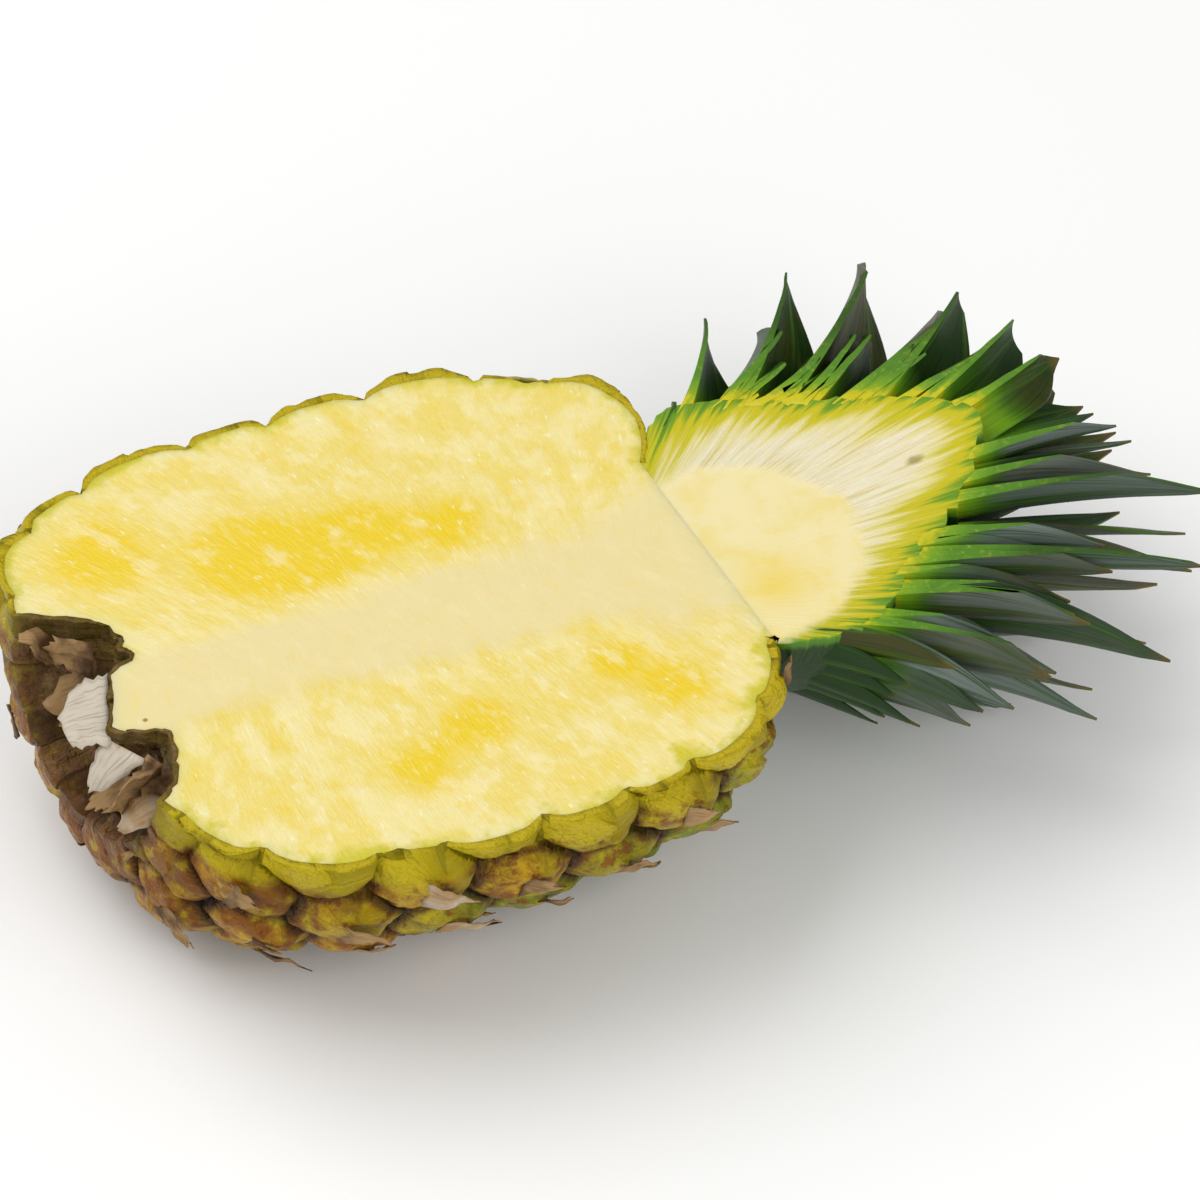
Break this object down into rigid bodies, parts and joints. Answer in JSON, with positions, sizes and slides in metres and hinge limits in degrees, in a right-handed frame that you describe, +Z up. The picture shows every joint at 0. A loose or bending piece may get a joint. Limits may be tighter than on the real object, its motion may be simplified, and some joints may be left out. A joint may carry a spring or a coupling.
{
  "type": "half pineapple",
  "caption": "Pineapple half cut lengthwise through fruit and crown, lying on its rind with the flat cut face up and the halved leafy crown fanning out at one end.",
  "frame": {"origin": "on the surface that the half rests on, at the shaved eyes under its weight", "axes": "+X along the fruit towards the crown, +Z up out of the cut face, so +Y is across the cut face"},
  "size_m": [0.2267, 0.1293, 0.051],
  "materials": {
    "flesh": "wet yellow fibrous flesh, paler along the core",
    "rind": "waxy olive-brown rind of raised eyes with dark grooves",
    "dry_bract": "dry papery tan bracts",
    "crown_heart": "moist cream stem with packed pale leaf roots, yellow-green at its edge",
    "leaf": "leathery green blades, greyer and waxy beneath, bright where cut"
  },
  "bodies": {
    "root": {"fruit_half": "flesh", "crown_stem": "crown_heart", "leaf_01": "leaf", "leaf_02": "leaf", "leaf_03": "leaf", "leaf_04": "leaf", "leaf_05": "leaf", "leaf_06": "leaf", "leaf_07": "leaf", "leaf_08": "leaf", "leaf_09": "leaf", "leaf_10": "leaf", "leaf_11": "leaf", "leaf_12": "leaf", "leaf_13": "leaf", "leaf_14": "leaf", "leaf_15": "leaf", "leaf_16": "leaf", "leaf_17": "leaf", "leaf_18": "leaf", "leaf_19": "leaf", "leaf_20": "leaf", "leaf_21": "leaf", "leaf_22": "leaf", "leaf_23": "leaf", "leaf_24": "leaf", "leaf_25": "leaf", "leaf_26": "leaf", "leaf_27": "leaf", "leaf_28": "leaf", "leaf_29": "leaf", "leaf_30": "leaf", "leaf_31": "leaf", "leaf_32": "leaf", "leaf_33": "leaf", "leaf_34": "leaf", "leaf_35": "leaf", "leaf_36": "leaf", "leaf_37": "leaf", "leaf_38": "leaf", "leaf_39": "leaf", "leaf_40": "leaf", "leaf_41": "leaf", "leaf_42": "leaf", "leaf_43": "leaf", "leaf_44": "leaf", "leaf_45": "leaf", "leaf_46": "leaf"}
  },
  "joints": []
}
